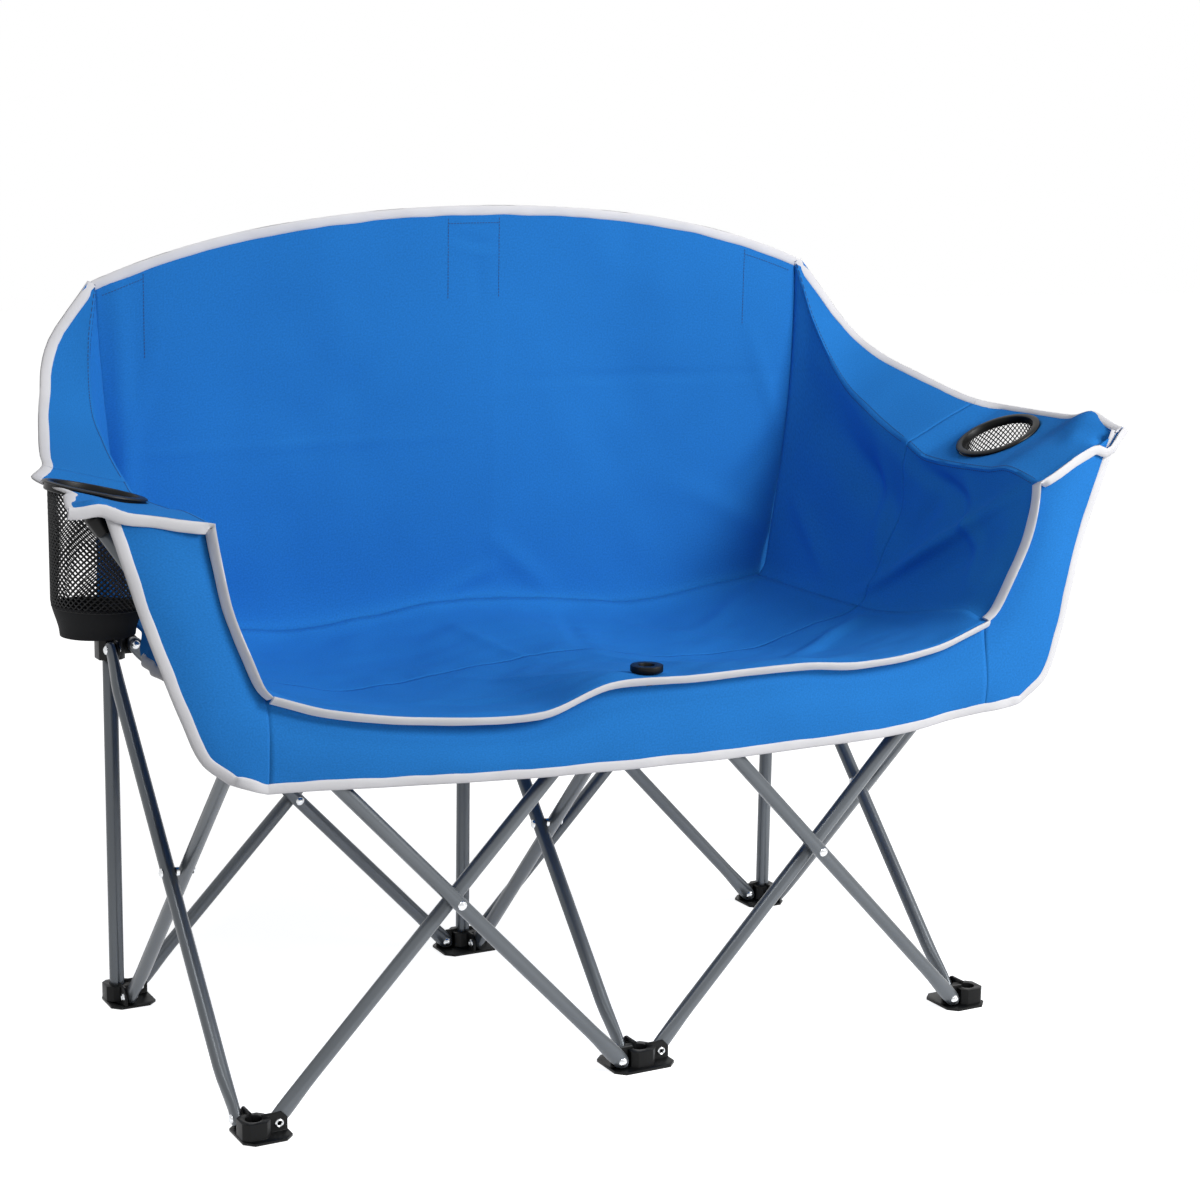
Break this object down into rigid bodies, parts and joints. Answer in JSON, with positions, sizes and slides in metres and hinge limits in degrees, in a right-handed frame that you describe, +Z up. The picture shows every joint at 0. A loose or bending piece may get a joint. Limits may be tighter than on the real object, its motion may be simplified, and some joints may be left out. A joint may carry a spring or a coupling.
{
  "type": "folding camping loveseat",
  "caption": "Two-place folding camping chair: high arched back, sloping cloth arms with net cup holders, sling seat and front apron on a crossing-tube frame that folds to a bundle",
  "frame": {"origin": "on the floor, below the middle of the overall box", "axes": "+X across the chair (right as seen from the front), +Y to the rear, +Z up; the sitter faces -Y"},
  "size_m": [1.3989, 0.5529, 1.0296],
  "materials": {
    "cloth": "fine woven polyester cloth, matt",
    "net": "black knitted net with a woven bottom",
    "plastic": "black moulded plastic, satin",
    "steel": "grey powder coat, low sheen",
    "zinc": "bright zinc-plated rivet"
  },
  "bodies": {
    "root": {"foot_rc": "plastic", "post_c": "steel", "post_cap_c": "plastic", "backrest": "cloth"},
    "rear_a": {"bar_rear_a": "steel", "rivet_rear_l": "zinc"},
    "rear_b": {"bar_rear_b": "steel"},
    "side_l": {"foot_rl": "plastic", "post_l": "steel", "post_cap_l": "plastic", "wing_l": "cloth"},
    "hub_rl": {"hub_rl": "plastic"},
    "hub_rc": {"hub_rc": "plastic"},
    "rear_d": {"bar_rear_d": "steel", "rivet_rear_r": "zinc"},
    "rear_c": {"bar_rear_c": "steel"},
    "side_r": {"foot_rr": "plastic", "post_r": "steel", "post_cap_r": "plastic", "wing_r": "cloth"},
    "hub_rr": {"hub_rr": "plastic"},
    "mid_a": {"bar_mid_a": "steel", "rivet_mid": "zinc"},
    "mid_b": {"bar_mid_b": "steel"},
    "foot_fc": {"foot_fc": "plastic"},
    "hub_fc": {"hub_fc": "plastic", "seat_plug": "plastic", "apron_c": "cloth"},
    "left_a": {"bar_left_a": "steel", "rivet_left": "zinc"},
    "left_b": {"bar_left_b": "steel"},
    "right_a": {"bar_right_a": "steel", "rivet_right": "zinc"},
    "right_b": {"bar_right_b": "steel"},
    "front_a": {"bar_front_a": "steel", "rivet_front_l": "zinc"},
    "front_b": {"bar_front_b": "steel"},
    "foot_fl": {"foot_fl": "plastic"},
    "hub_fl": {"hub_fl": "plastic"},
    "front_d": {"bar_front_d": "steel", "rivet_front_r": "zinc"},
    "front_c": {"bar_front_c": "steel"},
    "foot_fr": {"foot_fr": "plastic"},
    "hub_fr": {"hub_fr": "plastic"},
    "arm_l": {"arm_upright_l": "steel", "arm_cap_l": "plastic", "cup_ring_l": "plastic", "cup_bag_l": "net", "arm_l": "cloth", "apron_l": "cloth"},
    "arm_r": {"arm_upright_r": "steel", "arm_cap_r": "plastic", "cup_ring_r": "plastic", "cup_bag_r": "net", "arm_r": "cloth", "apron_r": "cloth"},
    "seat_rear": {"seat_rear": "cloth"},
    "seat_front": {"seat_front": "cloth"}
  },
  "joints": [
    {"name": "fold", "type": "hinge", "parent": "root", "child": "mid_a", "pos_m": [0, 0.226, 0.013], "axis": [-1, 0, 0], "range_deg": [0, 41], "deforming": ["backrest", "seat_front", "seat_rear", "wing_l", "wing_r", "arm_l", "arm_r", "apron_c", "apron_l", "apron_r"]},
    {"name": "mid_cross", "type": "hinge", "parent": "mid_a", "child": "mid_b", "pos_m": [0, 0.006, 0.2435], "axis": [1, 0, 0], "range_deg": [-0.5, 82.5]},
    {"name": "front_foot_c", "type": "hinge", "parent": "mid_b", "child": "foot_fc", "pos_m": [0, -0.214, 0.013], "axis": [1, 0, 0], "range_deg": [-41.5, 0.5]},
    {"name": "front_hub_c", "type": "hinge", "parent": "mid_a", "child": "hub_fc", "pos_m": [0, -0.214, 0.474], "axis": [1, 0, 0], "range_deg": [-0.5, 41.5]},
    {"name": "rear_a_foot", "type": "hinge", "parent": "root", "child": "rear_a", "pos_m": [-0.03, 0.258, 0.013], "axis": [0, 1, 0], "range_deg": [-0.5, 41.5]},
    {"name": "rear_cross_l", "type": "hinge", "parent": "rear_a", "child": "rear_b", "pos_m": [-0.25, 0.258, 0.2435], "axis": [0, 1, 0], "range_deg": [-82.5, 0.5]},
    {"name": "rear_foot_l", "type": "hinge", "parent": "rear_b", "child": "side_l", "pos_m": [-0.47, 0.258, 0.013], "axis": [0, 1, 0], "range_deg": [-0.5, 41.5]},
    {"name": "rear_hub_l", "type": "hinge", "parent": "rear_a", "child": "hub_rl", "pos_m": [-0.47, 0.258, 0.474], "axis": [0, 1, 0], "range_deg": [-41.5, 0.5]},
    {"name": "rear_hub_c", "type": "hinge", "parent": "rear_b", "child": "hub_rc", "pos_m": [-0.03, 0.258, 0.474], "axis": [0, 1, 0], "range_deg": [-0.5, 41.5]},
    {"name": "rear_d_foot", "type": "hinge", "parent": "root", "child": "rear_d", "pos_m": [0.03, 0.258, 0.013], "axis": [0, 1, 0], "range_deg": [-41.5, 0.5]},
    {"name": "rear_cross_r", "type": "hinge", "parent": "rear_d", "child": "rear_c", "pos_m": [0.25, 0.258, 0.2435], "axis": [0, 1, 0], "range_deg": [-0.5, 82.5]},
    {"name": "rear_foot_r", "type": "hinge", "parent": "rear_c", "child": "side_r", "pos_m": [0.47, 0.258, 0.013], "axis": [0, 1, 0], "range_deg": [-41.5, 0.5]},
    {"name": "rear_hub_r", "type": "hinge", "parent": "rear_d", "child": "hub_rr", "pos_m": [0.47, 0.258, 0.474], "axis": [0, 1, 0], "range_deg": [-0.5, 41.5]},
    {"name": "left_a_foot", "type": "hinge", "parent": "side_l", "child": "left_a", "pos_m": [-0.5, 0.226, 0.013], "axis": [1, 0, 0], "range_deg": [-41.5, 0.5]},
    {"name": "left_cross", "type": "hinge", "parent": "left_a", "child": "left_b", "pos_m": [-0.5, 0.006, 0.2435], "axis": [1, 0, 0], "range_deg": [-0.5, 82.5]},
    {"name": "right_a_foot", "type": "hinge", "parent": "side_r", "child": "right_a", "pos_m": [0.5, 0.226, 0.013], "axis": [1, 0, 0], "range_deg": [-41.5, 0.5]},
    {"name": "right_cross", "type": "hinge", "parent": "right_a", "child": "right_b", "pos_m": [0.5, 0.006, 0.2435], "axis": [1, 0, 0], "range_deg": [-0.5, 82.5]},
    {"name": "front_a_foot", "type": "hinge", "parent": "foot_fc", "child": "front_a", "pos_m": [-0.03, -0.246, 0.013], "axis": [0, 1, 0], "range_deg": [-0.5, 41.5]},
    {"name": "front_cross_l", "type": "hinge", "parent": "front_a", "child": "front_b", "pos_m": [-0.25, -0.246, 0.2435], "axis": [0, 1, 0], "range_deg": [-82.5, 0.5]},
    {"name": "front_foot_l", "type": "hinge", "parent": "front_b", "child": "foot_fl", "pos_m": [-0.47, -0.246, 0.013], "axis": [0, 1, 0], "range_deg": [-0.5, 41.5]},
    {"name": "front_hub_l", "type": "hinge", "parent": "front_a", "child": "hub_fl", "pos_m": [-0.47, -0.246, 0.474], "axis": [0, 1, 0], "range_deg": [-41.5, 0.5]},
    {"name": "front_d_foot", "type": "hinge", "parent": "foot_fc", "child": "front_d", "pos_m": [0.03, -0.246, 0.013], "axis": [0, 1, 0], "range_deg": [-41.5, 0.5]},
    {"name": "front_cross_r", "type": "hinge", "parent": "front_d", "child": "front_c", "pos_m": [0.25, -0.246, 0.2435], "axis": [0, 1, 0], "range_deg": [-0.5, 82.5]},
    {"name": "front_foot_r", "type": "hinge", "parent": "front_c", "child": "foot_fr", "pos_m": [0.47, -0.246, 0.013], "axis": [0, 1, 0], "range_deg": [-41.5, 0.5]},
    {"name": "front_hub_r", "type": "hinge", "parent": "front_d", "child": "hub_fr", "pos_m": [0.47, -0.246, 0.474], "axis": [0, 1, 0], "range_deg": [-0.5, 41.5]},
    {"name": "arm_pivot_l", "type": "hinge", "parent": "hub_fl", "child": "arm_l", "pos_m": [-0.5, -0.246, 0.478], "axis": [0, 1, 0], "range_deg": [-0.5, 10.5]},
    {"name": "arm_pivot_r", "type": "hinge", "parent": "hub_fr", "child": "arm_r", "pos_m": [0.5, -0.246, 0.478], "axis": [0, 1, 0], "range_deg": [-10.5, 0.5]},
    {"name": "seat_rear_edge", "type": "hinge", "parent": "hub_rc", "child": "seat_rear", "pos_m": [0, 0.226, 0.488], "axis": [1, 0, 0], "range_deg": [-0.5, 81.1]},
    {"name": "seat_front_edge", "type": "hinge", "parent": "hub_fc", "child": "seat_front", "pos_m": [0, -0.214, 0.488], "axis": [1, 0, 0], "range_deg": [-81.1, 0.5]}
  ],
  "couplings": [
    {"joint": "mid_cross", "follows": "fold", "ratio": 2},
    {"joint": "front_foot_c", "follows": "fold", "ratio": -1},
    {"joint": "front_hub_c", "follows": "fold", "ratio": 1},
    {"joint": "rear_a_foot", "follows": "fold", "ratio": 1},
    {"joint": "rear_cross_l", "follows": "fold", "ratio": -2},
    {"joint": "rear_foot_l", "follows": "fold", "ratio": 1},
    {"joint": "rear_hub_l", "follows": "fold", "ratio": -1},
    {"joint": "rear_hub_c", "follows": "fold", "ratio": 1},
    {"joint": "rear_d_foot", "follows": "fold", "ratio": -1},
    {"joint": "rear_cross_r", "follows": "fold", "ratio": 2},
    {"joint": "rear_foot_r", "follows": "fold", "ratio": -1},
    {"joint": "rear_hub_r", "follows": "fold", "ratio": 1},
    {"joint": "left_a_foot", "follows": "fold", "ratio": -1},
    {"joint": "left_cross", "follows": "fold", "ratio": 2},
    {"joint": "right_a_foot", "follows": "fold", "ratio": -1},
    {"joint": "right_cross", "follows": "fold", "ratio": 2},
    {"joint": "front_a_foot", "follows": "fold", "ratio": 1},
    {"joint": "front_cross_l", "follows": "fold", "ratio": -2},
    {"joint": "front_foot_l", "follows": "fold", "ratio": 1},
    {"joint": "front_hub_l", "follows": "fold", "ratio": -1},
    {"joint": "front_d_foot", "follows": "fold", "ratio": -1},
    {"joint": "front_cross_r", "follows": "fold", "ratio": 2},
    {"joint": "front_foot_r", "follows": "fold", "ratio": -1},
    {"joint": "front_hub_r", "follows": "fold", "ratio": 1},
    {"joint": "arm_pivot_l", "follows": "fold", "ratio": 0.2439},
    {"joint": "arm_pivot_r", "follows": "fold", "ratio": -0.2439},
    {"joint": "seat_rear_edge", "follows": "fold", "ratio": 1.9659},
    {"joint": "seat_front_edge", "follows": "fold", "ratio": -1.9659}
  ]
}
